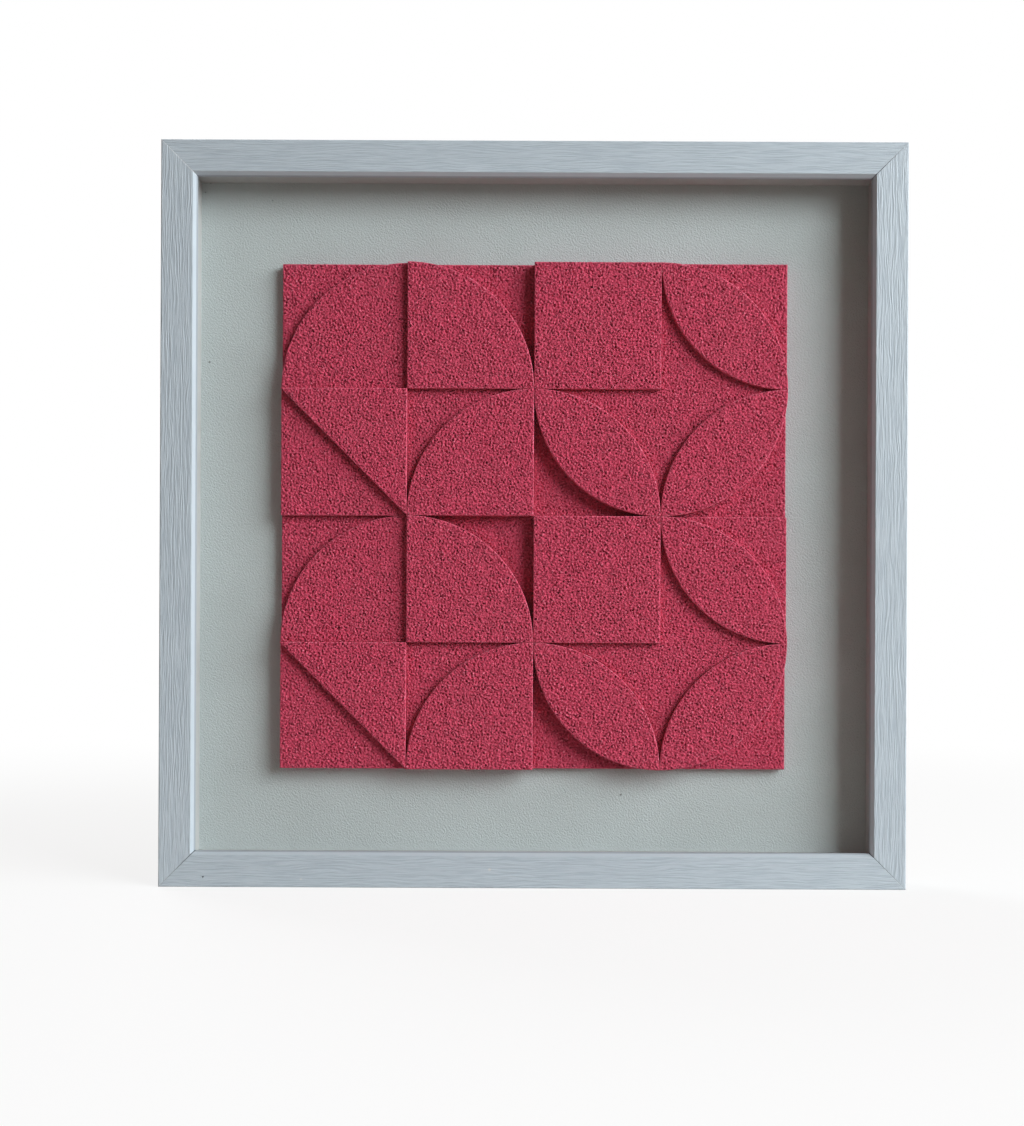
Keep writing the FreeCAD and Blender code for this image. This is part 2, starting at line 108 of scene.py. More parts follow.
def makeLamps():
    for name, (direction, width, height, power) in light["lamps"].items():
        lamp = bpy.data.lights.new(name, "AREA")
        lamp.shape = "RECTANGLE"
        lamp.size = width
        lamp.size_y = height
        lamp.energy = power
        lamp.color = light["colour"]
        stand = bpy.data.objects.new(name, lamp)
        towards = Vector(direction).normalized()
        stand.location = Vector((0, 0, middleZ)) + towards * light["distance"]
        stand.rotation_euler = towards.to_track_quat("Z", "Y").to_euler()
        bpy.context.scene.collection.objects.link(stand)


def addNode(tree, kind, inputs=None, **settings):
    node = tree.nodes.new(kind)
    for name, setting in settings.items():
        setattr(node, name, setting)
    for name, source in (inputs or {}).items():
        if isinstance(source, bpy.types.NodeSocket):
            tree.links.new(source, node.inputs[name])
        else:
            node.inputs[name].default_value = source
    return node


def calc(tree, operation, first, second=0.0, clamped=False):
    return addNode(tree, "ShaderNodeMath", {0: first, 1: second},
                   operation=operation, use_clamp=clamped).outputs[0]


def fade(tree, value, start, end, low=0.0, high=1.0):  # from low to high as value goes from start to end
    return addNode(tree, "ShaderNodeMapRange",
                   {"Value": value, "From Min": start, "From Max": end, "To Min": low, "To Max": high},
                   interpolation_type="SMOOTHSTEP").outputs["Result"]


def blendColour(tree, amount, first, second):
    return addNode(tree, "ShaderNodeMix", {0: amount, 6: first, 7: second}, data_type="RGBA").outputs[2]


def layer(tree, under, over, mask, strength):  # a colour laid over another where the mask is bright
    return blendColour(tree, calc(tree, "MULTIPLY", mask, strength), under, over)


def lookingRays(tree, path):  # 1 on the rays that look at a thing: direct, mirrored or through glass
    indirect = calc(tree, "MAXIMUM", path["Is Glossy Ray"], path["Is Transmission Ray"])
    return calc(tree, "MAXIMUM", path["Is Camera Ray"], indirect)


def makeWorld():
    world = bpy.data.worlds.new("studio")
    bpy.context.scene.world = world
    world.use_nodes = True
    tree = world.node_tree
    tree.nodes.clear()
    path = addNode(tree, "ShaderNodeLightPath").outputs
    direction = addNode(tree, "ShaderNodeSeparateXYZ",
                        {0: addNode(tree, "ShaderNodeTexCoord").outputs["Generated"]}).outputs
    room = fade(tree, direction["Y"], 0.1, -0.3, 1.0, light["roomSeenInGlass"])
    shine = calc(tree, "MAXIMUM", room, path["Is Camera Ray"])
    white = addNode(tree, "ShaderNodeBackground", {"Color": (1, 1, 1, 1), "Strength": shine})
    fill = addNode(tree, "ShaderNodeBackground",
                   {"Color": (*light["room"], 1), "Strength": light["roomLevel"]})
    mix = addNode(tree, "ShaderNodeMixShader",
                  {0: lookingRays(tree, path), 1: fill.outputs[0], 2: white.outputs[0]})
    addNode(tree, "ShaderNodeOutputWorld", {"Surface": mix.outputs[0]})


floor = {"halfSize": 6.0, "level": 0.86, "whiteness": 0.80, "fadeStart": 0.5, "fadeEnd": 1.6,
         "nearBounce": (0.66, 0.61, 0.57), "farBounce": (0.25, 0.19, 0.16),
         "bounceStart": 0.35, "bounceEnd": 0.9}


def makeFloor():
    far = floor["halfSize"]
    mesh = bpy.data.meshes.new("floor")
    mesh.from_pydata([(-far, -far, 0), (far, -far, 0), (far, far, 0), (-far, far, 0)], [], [(0, 1, 2, 3)])
    plane = bpy.data.objects.new("floor", mesh)
    bpy.context.scene.collection.objects.link(plane)
    material, tree, shader, place = newMaterial("pale_floor")
    level = floor["level"]
    setInputs(shader, {"Base Color": (level, level, level, 1), "Roughness": 0.9,
                       "Specular IOR Level": 0.1})
    path = addNode(tree, "ShaderNodeLightPath").outputs
    away = addNode(tree, "ShaderNodeVectorMath", {0: place}, operation="LENGTH").outputs["Value"]
    paleness = fade(tree, away, floor["fadeStart"], floor["fadeEnd"], floor["whiteness"], 1.0)
    paleness = calc(tree, "MAXIMUM", paleness, path["Is Glossy Ray"])
    paleness = calc(tree, "MULTIPLY", paleness, lookingRays(tree, path))
    depth = addNode(tree, "ShaderNodeSeparateXYZ", {0: place}).outputs["Y"]
    room = fade(tree, depth, 0.0, -0.6, 1.0, light["roomSeenInGlass"])
    shine = calc(tree, "MAXIMUM", room, path["Is Camera Ray"])
    white = addNode(tree, "ShaderNodeEmission", {"Color": (1, 1, 1, 1), "Strength": shine})
    mix = addNode(tree, "ShaderNodeMixShader", {0: paleness, 1: shader.outputs[0], 2: white.outputs[0]})
    bounce = blendColour(tree, fade(tree, away, floor["bounceStart"], floor["bounceEnd"]),
                         (*floor["nearBounce"], 1), (*floor["farBounce"], 1))
    warm = addNode(tree, "ShaderNodeBsdfDiffuse", {"Color": bounce})
    bounced = addNode(tree, "ShaderNodeMixShader",
                      {0: path["Is Diffuse Ray"], 1: mix.outputs[0], 2: warm.outputs[0]})
    output = tree.nodes["Material Output"]
    tree.links.new(bounced.outputs[0], output.inputs["Surface"])
    mesh.materials.append(material)


# effects that several materials share, as node groups

def newGroup(name, inputs, outputs):
    group = bpy.data.node_groups.new(name, "ShaderNodeTree")
    for direction, sockets in (("INPUT", inputs), ("OUTPUT", outputs)):
        for label, kind, default in sockets:
            socket = group.interface.new_socket(label, in_out=direction, socket_type=f"NodeSocket{kind}")
            if default is not None:
                socket.default_value = default
    start = group.nodes.new("NodeGroupInput").outputs
    end = group.nodes.new("NodeGroupOutput").inputs
    return group, start, end


def useGroup(tree, group, inputs):
    return addNode(tree, "ShaderNodeGroup", inputs, node_tree=group).outputs


def makeStreakGroup():  # long wavering lines: X runs along them, Y and Z across
    group, start, end = newGroup(
        "streaks",
        [("Vector", "Vector", None), ("Pitch", "Float", 0.001), ("Length", "Float", 0.03),
         ("Waver", "Float", 0.0008)],
        [("Height", "Float", None), ("Line", "Float", None)])
    place = addNode(group, "ShaderNodeSeparateXYZ", {0: start["Vector"]}).outputs
    along = calc(group, "DIVIDE", place["X"], start["Length"])
    drift = addNode(group, "ShaderNodeTexNoise",
                    {"Vector": addNode(group, "ShaderNodeCombineXYZ",
                                       {"X": calc(group, "MULTIPLY", along, 0.6),
                                        "Y": calc(group, "MULTIPLY", place["Y"], 110.0)}).outputs[0],
                     "Scale": 1.0, "Detail": 1.0}).outputs["Fac"]
    shifted = calc(group, "ADD", place["Y"],
                   calc(group, "MULTIPLY", calc(group, "SUBTRACT", drift, 0.5),
                        calc(group, "MULTIPLY", start["Waver"], 6.0)))
    across = calc(group, "DIVIDE", shifted, start["Pitch"])
    deep = calc(group, "DIVIDE", place["Z"], start["Pitch"])
    stretched = addNode(group, "ShaderNodeCombineXYZ", {"X": along, "Y": across, "Z": deep}).outputs[0]
    lines = addNode(group, "ShaderNodeTexNoise",
                    {"Vector": stretched, "Scale": 0.85, "Detail": 2.5, "Roughness": 0.55}).outputs["Fac"]
    group.links.new(lines, end["Height"])
    group.links.new(fade(group, lines, 0.56, 0.40), end["Line"])
    return group


def makeGritGroup():  # speckle of one size, or soft clouds when the size is large
    group, start, end = newGroup(
        "grit",
        [("Vector", "Vector", None), ("Size", "Float", 0.001), ("Sharpness", "Float", 3.0)],
        [("Height", "Float", None), ("Mask", "Float", None)])
    scale = calc(group, "DIVIDE", 1.0, start["Size"])
    speckle = addNode(group, "ShaderNodeTexNoise",
                      {"Vector": start["Vector"], "Scale": scale, "Detail": 3.0,
                       "Roughness": 0.5}).outputs["Fac"]
    group.links.new(speckle, end["Height"])
    contrast = calc(group, "MULTIPLY", calc(group, "SUBTRACT", speckle, 0.5), start["Sharpness"])
    group.links.new(calc(group, "ADD", contrast, 0.5, clamped=True), end["Mask"])
    return group


def makeWearGroup():  # where an edge has been rubbed, broken up by speckle
    group, start, end = newGroup(
        "edge_wear",
        [("Vector", "Vector", None), ("Radius", "Float", 0.001), ("Size", "Float", 0.006)],
        [("Mask", "Float", None)])
    rounded = addNode(group, "ShaderNodeBevel", {"Radius": start["Radius"]}, samples=4).outputs["Normal"]
    real = addNode(group, "ShaderNodeNewGeometry").outputs["Normal"]
    agreement = addNode(group, "ShaderNodeVectorMath", {0: rounded, 1: real}, operation="DOT_PRODUCT")
    rubbed = fade(group, agreement.outputs["Value"], 0.985, 0.86)
    patches = useGroup(group, gritGroup, {"Vector": start["Vector"], "Size": start["Size"],
                                          "Sharpness": 5.0})["Mask"]
    group.links.new(calc(group, "MULTIPLY", rubbed, patches), end["Mask"])
    return group


def makeDustGroup():  # pale specks and a film that settles on what faces up
    group, start, end = newGroup(
        "dust",
        [("Vector", "Vector", None), ("Spacing", "Float", 0.012), ("Film", "Float", 0.3)],
        [("Mask", "Float", None)])
    cells = addNode(group, "ShaderNodeTexVoronoi",
                    {"Vector": start["Vector"], "Scale": calc(group, "DIVIDE", 1.0, start["Spacing"])})
    specks = fade(group, cells.outputs["Distance"], 0.045, 0.02)
    upward = addNode(group, "ShaderNodeSeparateXYZ",
                     {0: addNode(group, "ShaderNodeNewGeometry").outputs["Normal"]}).outputs["Z"]
    clouds = useGroup(group, gritGroup, {"Vector": start["Vector"], "Size": 0.02, "Sharpness": 2.0})
    film = calc(group, "MULTIPLY", calc(group, "MULTIPLY", fade(group, upward, 0.5, 0.95),
                                        clouds["Mask"]), start["Film"])
    group.links.new(calc(group, "MAXIMUM", specks, film), end["Mask"])
    return group


gritGroup = makeGritGroup()
streakGroup = makeStreakGroup()
wearGroup = makeWearGroup()
dustGroup = makeDustGroup()


def newMaterial(name):
    material = bpy.data.materials.new(name)
    material.use_nodes = True
    tree = material.node_tree
    place = addNode(tree, "ShaderNodeTexCoord").outputs["Object"]
    return material, tree, tree.nodes["Principled BSDF"], place


def setInputs(shader, values):
    for name, setting in values.items():
        shader.inputs[name].default_value = setting


def feed(tree, shader, **sources):  # node results into the shader's sockets, by plain names
    sockets = {"colour": "Base Color", "roughness": "Roughness", "normal": "Normal"}
    for name, source in sources.items():
        tree.links.new(source, shader.inputs[sockets[name]])


def raised(tree, height, distance, strength=1.0):  # a normal from a height field, distance in metres
    return addNode(tree, "ShaderNodeBump",
                   {"Height": height, "Distance": distance, "Strength": strength}).outputs["Normal"]


# moulding: blue-grey paint over an embossed grain, smooth on the bevel, bare wood behind; painted shade on
# the inner lip and, on the upright rails, a painted highlight along the mitres
moulding = {
    "paint": seen(180, 191, 199), "valley": seen(148, 160, 171), "ridge": seen(196, 206, 213),
    "wood": seen(203, 178, 143), "woodLine": seen(168, 138, 102),
    "worn": seen(214, 219, 222), "dust": seen(205, 203, 198),
    "grainPitch": 0.0008, "grainLength": 0.021, "grainWaver": 0.0008, "grainDepth": 0.00078,
    "roughness": (0.42, 0.60),
    "lineStrength": 0.40, "ridgeStrength": 0.25, "cloudStrength": 0.16,
    "wornStrength": 0.55, "dustStrength": 0.6,
    "bevelWidth": 0.0024, "bevelSoftness": 0.0004, "bareBack": 0.0004,
    # painted shade: a darker grey band on the inner lip at the sight edge
    "paintedLipShadeWidth": 0.0009, "paintedLipShade": seen(140, 147, 154), "paintedLipShadeStrength": 0.8,
    "mitreGap": 0.00016, "crack": seen(50, 56, 64), "crackStrength": 0.9, "crackDepth": 0.8,
    "pit": (-0.2201, 0.0068), "pitRadius": 0.0006, "pitStrength": 0.6, "pitDepth": 1.6,
}


def makeMouldingMaterial(name, upright):
    material, tree, shader, place = newMaterial(name)
    spot = addNode(tree, "ShaderNodeSeparateXYZ", {0: place}).outputs
    lift = calc(tree, "SUBTRACT", spot["Z"], middleZ)
    along, across = (spot["Z"], spot["X"]) if upright else (spot["X"], spot["Z"])
    grainPlace = addNode(tree, "ShaderNodeCombineXYZ", {"X": along, "Y": across, "Z": spot["Y"]}).outputs[0]
    grain = useGroup(tree, streakGroup, {"Vector": grainPlace, "Pitch": moulding["grainPitch"],
                                         "Length": moulding["grainLength"],
                                         "Waver": moulding["grainWaver"]})
    fine = useGroup(tree, streakGroup, {"Vector": grainPlace, "Pitch": moulding["grainPitch"] * 0.45,
                                        "Length": moulding["grainLength"] * 0.4, "Waver": 0.0003})
    clouds = useGroup(tree, gritGroup, {"Vector": place, "Size": 0.03, "Sharpness": 1.6})
    sideways, upwards = calc(tree, "ABSOLUTE", spot["X"]), calc(tree, "ABSOLUTE", lift)
    outFrom = calc(tree, "MAXIMUM", sideways, upwards)
    bevelEdge = sightHalf + moulding["bevelWidth"]
    onFace = fade(tree, outFrom, bevelEdge, bevelEdge + moulding["bevelSoftness"])
    isBack = fade(tree, spot["Y"], backY - moulding["bareBack"] * 2, backY - moulding["bareBack"])

    fromMitre = calc(tree, "ABSOLUTE", calc(tree, "SUBTRACT", sideways, upwards))
    opened = fade(tree, outFrom, sightHalf, halfSide, 1.0, 0.2)  # the mitres open towards the glass
    topLeft = calc(tree, "MULTIPLY", calc(tree, "LESS_THAN", spot["X"]), calc(tree, "GREATER_THAN", lift))
    opened = calc(tree, "MULTIPLY", opened, calc(tree, "SUBTRACT", 1.0, calc(tree, "MULTIPLY", topLeft, 0.9)))
    mitre = calc(tree, "MULTIPLY", opened,
                 fade(tree, fromMitre, moulding["mitreGap"] * 2.4, moulding["mitreGap"] * 0.8))
    pitX, pitZ = moulding["pit"]
    pitPlace = addNode(tree, "ShaderNodeVectorMath", {0: place, 1: (pitX, frontY, pitZ)},
                       operation="DISTANCE").outputs["Value"]
    pit = fade(tree, pitPlace, moulding["pitRadius"] * 1.25, moulding["pitRadius"] * 0.5)

    height = calc(tree, "ADD", calc(tree, "MULTIPLY", grain["Height"], 0.75),
                  calc(tree, "MULTIPLY", fine["Height"], 0.30))
    height = calc(tree, "MULTIPLY", height, onFace)
    height = calc(tree, "SUBTRACT", height, calc(tree, "MULTIPLY", mitre, moulding["crackDepth"]))
    height = calc(tree, "SUBTRACT", height, calc(tree, "MULTIPLY", pit, moulding["pitDepth"]))

    line = calc(tree, "MULTIPLY", grain["Line"], onFace)
    ridge = calc(tree, "MULTIPLY", fade(tree, fine["Height"], 0.55, 0.72), onFace)
    colour = layer(tree, moulding["paint"], moulding["valley"], line, moulding["lineStrength"])
    colour = layer(tree, colour, moulding["ridge"], ridge, moulding["ridgeStrength"])
    colour = layer(tree, colour, moulding["valley"], clouds["Mask"], moulding["cloudStrength"])
    worn = useGroup(tree, wearGroup, {"Vector": place, "Radius": 0.0007, "Size": 0.005})["Mask"]
    colour = layer(tree, colour, moulding["worn"], worn, moulding["wornStrength"])
    dust = useGroup(tree, dustGroup, {"Vector": place, "Spacing": 0.03, "Film": 0.30})["Mask"]
    colour = layer(tree, colour, moulding["dust"], dust, moulding["dustStrength"])
    if upright:  # a pale line along the mitre, most of all at the top left: a painted highlight where the rounded mitre edges catch the light
        alongMitre = fade(tree, fromMitre, moulding["mitreGap"] * 4, moulding["mitreGap"] * 2)
        paintedMitreHighlight = calc(tree, "MULTIPLY", alongMitre, fade(tree, fine["Height"], 0.42, 0.55, 0.5, 1.0))
        paintedMitreHighlight = calc(tree, "MULTIPLY", paintedMitreHighlight, calc(tree, "ADD", 0.3, calc(tree, "MULTIPLY", topLeft, 0.7)))
        colour = blendColour(tree, paintedMitreHighlight, colour, moulding["worn"])
    # painted shade: the inner lip at the sight edge is darkened towards a grey, where the lip wall lies in
    # shade
    paintedLipShade = fade(tree, outFrom, sightHalf + moulding["paintedLipShadeWidth"], sightHalf + moulding["paintedLipShadeWidth"] * 0.5)
    colour = layer(tree, colour, moulding["paintedLipShade"], paintedLipShade, moulding["paintedLipShadeStrength"])
    darkening = calc(tree, "MAXIMUM", calc(tree, "MULTIPLY", mitre, moulding["crackStrength"]),
                     calc(tree, "MULTIPLY", pit, moulding["pitStrength"]))
    colour = blendColour(tree, darkening, colour, moulding["crack"])
    bare = blendColour(tree, grain["Line"], moulding["wood"], moulding["woodLine"])
    colour = blendColour(tree, isBack, colour, bare)

    rough = fade(tree, grain["Height"], 0.35, 0.65, moulding["roughness"][1], moulding["roughness"][0])
    feed(tree, shader, colour=colour, roughness=rough, normal=raised(tree, height, moulding["grainDepth"]))
    setInputs(shader, {"Specular IOR Level": 0.42})
    return material


# backing board: pale grey-green paper with a fine slanting emboss and a few dark specks
backing = {
    "face": seen(183, 191, 192), "shade": seen(171, 178, 178), "speck": seen(70, 66, 60),
    "cloudStrength": 0.45, "lineStrength": 0.22, "speckStrength": 0.7,
    "slant": -52, "pitch": 0.0009, "length": 0.0013, "emboss": 0.00075,
    "speckSpacing": 0.034,
    "darkSpecks": ((-0.2265, 0.4725), (-0.2229, 0.4787), (-0.1803, 0.4670)),  # x and z of each
    "paleSpecks": ((-0.1672, 0.4752), (-0.1528, 0.4766), (-0.1500, 0.4711)),
    "speckRadius": 0.0007, "pale": seen(222, 220, 210),
}


def makeBackingMaterial():
    material, tree, shader, place = newMaterial("mount_board_paper")
    slant = (0, math.radians(backing["slant"]), 0)
    slanted = addNode(tree, "ShaderNodeMapping", {"Vector": place, "Rotation": slant}).outputs[0]
    spot = addNode(tree, "ShaderNodeSeparateXYZ", {0: slanted}).outputs
    flat = addNode(tree, "ShaderNodeCombineXYZ", {"X": spot["X"], "Y": spot["Z"], "Z": spot["Y"]}).outputs[0]
    emboss = useGroup(tree, streakGroup, {"Vector": flat, "Pitch": backing["pitch"],
                                          "Length": backing["length"], "Waver": 0.0004})
    fibre = useGroup(tree, gritGroup, {"Vector": place, "Size": 0.0007, "Sharpness": 2.0})
    clouds = useGroup(tree, gritGroup, {"Vector": place, "Size": 0.06, "Sharpness": 2.2})
    colour = layer(tree, backing["face"], backing["shade"], clouds["Mask"], backing["cloudStrength"])
    colour = layer(tree, colour, backing["shade"], emboss["Line"], backing["lineStrength"])
    cells = addNode(tree, "ShaderNodeTexVoronoi", {"Vector": place, "Scale": 1 / backing["speckSpacing"]})
    speck = fade(tree, cells.outputs["Distance"], 0.030, 0.014)
    colour = layer(tree, colour, backing["speck"], speck, backing["speckStrength"])
    for specks, shade in (("darkSpecks", "speck"), ("paleSpecks", "pale")):
        for x, z in backing[specks]:
            away = addNode(tree, "ShaderNodeVectorMath", {0: place, 1: (x, boardLow.y, z)},
                           operation="DISTANCE").outputs["Value"]
            colour = blendColour(tree, fade(tree, away, backing["speckRadius"], 0.0, 0.0, 0.9), colour,
                                 backing[shade])
    height = calc(tree, "ADD", emboss["Height"], calc(tree, "MULTIPLY", fibre["Height"], 0.25))
    feed(tree, shader, colour=colour, normal=raised(tree, height, backing["emboss"]),
         roughness=fade(tree, emboss["Height"], 0.35, 0.65, 0.78, 0.62))
    setInputs(shader, {"Specular IOR Level": 0.25})
    return material


# spacers: white card with a few fibres, greyer where it was cut
spacer = {"face": seen(177, 178, 178), "fibre": seen(162, 160, 156), "bump": 0.00008}


def makeSpacerMaterial():
    material, tree, shader, place = newMaterial("spacer_card")
    fibre = useGroup(tree, gritGroup, {"Vector": place, "Size": 0.0009, "Sharpness": 4.0})
    clouds = useGroup(tree, gritGroup, {"Vector": place, "Size": 0.025, "Sharpness": 2.5})
    worn = useGroup(tree, wearGroup, {"Vector": place, "Radius": 0.0006, "Size": 0.004})["Mask"]
    mottle = calc(tree, "ADD", fibre["Mask"], clouds["Mask"])
    colour = layer(tree, spacer["face"], spacer["fibre"], mottle, 0.25)
    colour = layer(tree, colour, spacer["fibre"], worn, 0.5)
    feed(tree, shader, colour=colour, normal=raised(tree, fibre["Height"], spacer["bump"]),
         roughness=fade(tree, fibre["Height"], 0.3, 0.7, 0.9, 0.75))
    setInputs(shader, {"Specular IOR Level": 0.2})
    return material


# glass: clear, with faint smears and a little dust; light for what lies behind passes straight through
pane = {"ior": 1.3, "tint": seen(252, 254, 253), "smear": (0.0, 0.05), "dust": seen(225, 225, 222)}


def makeGlassMaterial():
    material, tree, shader, place = newMaterial("clear_glass")
    smear = useGroup(tree, gritGroup, {"Vector": place, "Size": 0.07, "Sharpness": 3.0})
    rough = fade(tree, smear["Mask"], 0.55, 1.0, *pane["smear"])
    dust = useGroup(tree, dustGroup, {"Vector": place, "Spacing": 0.016, "Film": 0.0})["Mask"]
    colour = layer(tree, pane["tint"], pane["dust"], dust, 0.25)
    feed(tree, shader, colour=colour, roughness=rough)
    setInputs(shader, {"Transmission Weight": 1.0, "IOR": pane["ior"]})
    path = addNode(tree, "ShaderNodeLightPath").outputs
    through = addNode(tree, "ShaderNodeBsdfTransparent", {"Color": (1, 1, 1, 1)})
    passing = calc(tree, "MAXIMUM", path["Is Shadow Ray"], path["Is Diffuse Ray"])
    mix = addNode(tree, "ShaderNodeMixShader", {0: passing, 1: shader.outputs[0], 2: through.outputs[0]})
    tree.links.new(mix.outputs[0], tree.nodes["Material Output"].inputs["Surface"])
    return material


# hardboard panel: pressed brown fibre, darker clouds
panel = {"face": seen(150, 116, 82), "fibre": seen(112, 82, 54), "light": seen(182, 150, 112), "bump": 0.0002}


def makePanelMaterial():
    material, tree, shader, place = newMaterial("hardboard_fibre")
    fibre = useGroup(tree, gritGroup, {"Vector": place, "Size": 0.0022, "Sharpness": 5.0})
    fine = useGroup(tree, gritGroup, {"Vector": place, "Size": 0.0008, "Sharpness": 4.0})
    clouds = useGroup(tree, gritGroup, {"Vector": place, "Size": 0.05, "Sharpness": 2.5})
    colour = layer(tree, panel["face"], panel["fibre"], fibre["Mask"], 0.6)
    colour = layer(tree, colour, panel["light"], fine["Mask"], 0.35)
    colour = layer(tree, colour, panel["fibre"], clouds["Mask"], 0.3)
    height = calc(tree, "ADD", fibre["Height"], fine["Height"])
    feed(tree, shader, colour=colour, normal=raised(tree, height, panel["bump"]),
         roughness=fade(tree, clouds["Mask"], 0.0, 1.0, 0.5, 0.72))
    return material


# zinced steel: drawn lines, dulled clouds and brighter rubbed edges
steel = {"bright": seen(196, 198, 200), "dull": seen(150, 151, 150), "worn": seen(226, 226, 224),
         "linePitch": 0.00025, "lineLength": 0.01, "bump": 0.00004}


def makeSteelMaterial():
    material, tree, shader, place = newMaterial("zinced_steel")
    lines = useGroup(tree, streakGroup, {"Vector": place, "Pitch": steel["linePitch"],
                                         "Length": steel["lineLength"], "Waver": 0.0})
    clouds = useGroup(tree, gritGroup, {"Vector": place, "Size": 0.004, "Sharpness": 3.0})
    worn = useGroup(tree, wearGroup, {"Vector": place, "Radius": 0.0004, "Size": 0.002})["Mask"]
    colour = blendColour(tree, clouds["Mask"], steel["bright"], steel["dull"])
    colour = blendColour(tree, worn, colour, steel["worn"])
    feed(tree, shader, colour=colour, normal=raised(tree, lines["Height"], steel["bump"]),
         roughness=fade(tree, clouds["Mask"], 0.0, 1.0, 0.28, 0.48))
    setInputs(shader, {"Metallic": 1.0})
    return material


# felt of the two bumpers
felt = {"wool": seen(118, 116, 112), "hair": seen(158, 155, 149), "bump": 0.0004}


def makeFeltMaterial():
    material, tree, shader, place = newMaterial("grey_felt")
    hair = useGroup(tree, gritGroup, {"Vector": place, "Size": 0.0006, "Sharpness": 5.0})
    clump = useGroup(tree, gritGroup, {"Vector": place, "Size": 0.002, "Sharpness": 3.0})
    colour = blendColour(tree, hair["Mask"], felt["wool"], felt["hair"])
    height = calc(tree, "ADD", hair["Height"], clump["Height"])
    feed(tree, shader, colour=colour, normal=raised(tree, height, felt["bump"]),
         roughness=fade(tree, clump["Mask"], 0.0, 1.0, 0.95, 0.85))
    setInputs(shader, {"Sheen Weight": 0.35, "Sheen Roughness": 0.4})
    return material


# relief: thick cut pieces with a coarse granular face
relief = {
    # pit is painted shade in the grain's hollows and tip a painted highlight on its tops; both are blended in
    # by grain height
    "pit": seen(146, 29, 55), "face": seen(218, 78, 108), "tip": seen(246, 144, 168),
    "faded": seen(198, 92, 110),
    "hollowShadeFade": (-2.2, 0.2, 0.25, 1.0),  # from which grain height to which, and how much of the colour
    "tipHighlightFade": (0.4, 2.4, 0.0, 0.85),
    "fadedStrength": 0.22, "gritStrength": 0.22, "gritSize": 0.0010, "gritDepth": 0.0016,  # in metres
    "spacing": 0.66,  # between the points of a face, in millimetres like all lengths from here on
    "jitter": 0.14, "rimGap": 0.42,  # both as parts of the spacing
    "fineStep": 0.12,
    "edgeInset": 0.66,
    "tipTries": 9, "tipNearest": 0.35, "tipAhead": 2.2, "tipShrink": 0.6,  # less inset in the sharp tips
    "edgeRings": ((0.32, 0.10), (0.09, 0.32), (0.0, 0.64)),  # how far in and how deep
    "edgeGrow": 0.149,  # the seams all but close
    # painted highlight on the rounded edges of every piece
    "edgeHighlight": 0.9,
    "wallStep": 1.9,
    "grain": 2.0, "grainSpread": 0.75, "grainHeight": 0.67,
    "pitSkew": 0.22,  # pits are deeper than the grains are high
    "grainShift": (37.0, 53.0),  # from piece to piece, so that no two share their grain
    "sag": 14.0, "sagSpread": 0.6, "sagHeight": 0.10,
    "ragged": 0.12,
    "fieldCells": 1200, "fieldCell": 0.30,
    "seed": 11,
}
pitch = (squareLow.z - lowerSquareLow.z) / 2 / millimetre
edge = (squareHigh.x - squareLow.x) / 2 / millimetre
half = pitch / 2
seam = half - edge
innerRadius = pitch - seam
outerRadius = pitch + seam


def straight(start, end):
    count = max(2, round(math.dist(start, end) / relief["fineStep"]))
    t = np.arange(count)[:, None] / count
    return np.array(start) * (1 - t) + np.array(end) * t


def curved(centre, start, end):  # the short way round a centre, without the last point
    centre = np.array(centre)
    first = math.atan2(*(np.array(start) - centre)[::-1])
    turn = (math.atan2(*(np.array(end) - centre)[::-1]) - first + math.pi) % (2 * math.pi) - math.pi
    radius = math.dist(start, centre)
    count = max(2, round(abs(turn) * radius / relief["fineStep"]))
    angles = first + turn * np.arange(count) / count
    return centre + radius * np.column_stack((np.cos(angles), np.sin(angles)))


def reach(radius, offset):  # the other leg of a right triangle
    return math.sqrt(radius ** 2 - offset ** 2)


def squareOutline():
    corners = [(-edge, -edge), (edge, -edge), (edge, edge), (-edge, edge)]
    return [straight(a, b) for a, b in zip(corners, corners[1:] + corners[:1])]


def triangleOutline():  # above the diagonal that falls to the right
    short = seam * math.sqrt(2) - edge
    corners = [(edge, edge), (short, edge), (edge, short)]
    return [straight(a, b) for a, b in zip(corners, corners[1:] + corners[:1])]


def wedgeOutline(corner, radius):  # two edges of a tile and an arc round its lower right corner
    centre = (half, -half)
    upright = (corner[0], centre[1] + reach(radius, corner[0] - centre[0]))
    level = (centre[0] - reach(radius, corner[1] - centre[1]), corner[1])
    return [straight(corner, upright), curved(centre, upright, level), straight(level, corner)]


def leafOutline():
    tip = math.sqrt(innerRadius ** 2 / 2 - half ** 2)
    return [curved((-half, -half), (tip, -tip), (-tip, tip)),
            curved((half, half), (-tip, tip), (tip, -tip))]


def starOutline():  # three hollow corners in one piece
    blunt = pitch - reach(outerRadius, pitch - seam)
    sharp = pitch - reach(outerRadius, pitch)
    inner, top, left = (seam, -seam), (seam, blunt), (-blunt, -seam)
    right, bottom = (sharp, 0), (0, -sharp)
    return [straight(inner, top), curved((pitch, pitch), top, right),
            curved((pitch, -pitch), right, bottom), curved((-pitch, -pitch), bottom, left),
            straight(left, inner)]


outlines = {
    "square": squareOutline(),
    "upper_triangle": triangleOutline(),
    "lower_triangle": triangleOutline(),
    "quarter_disc": wedgeOutline((edge, -edge), innerRadius),
    "corner": wedgeOutline((-edge, edge), outerRadius),
    "leaf": leafOutline(),
    "star": starOutline(),
}
quarterTurns = {  # clockwise; a piece that isn't named here isn't turned
    "quarter_disc_r1c2": 1, "corner_r1c2": 1, "corner_r1c4": 1, "lower_triangle_r2c1": 2,
    "corner_r2c3": 3, "leaf_r2c4": 1, "corner_r2c4": 2,
}
rowsPerHalf = 2
tileCount = 4


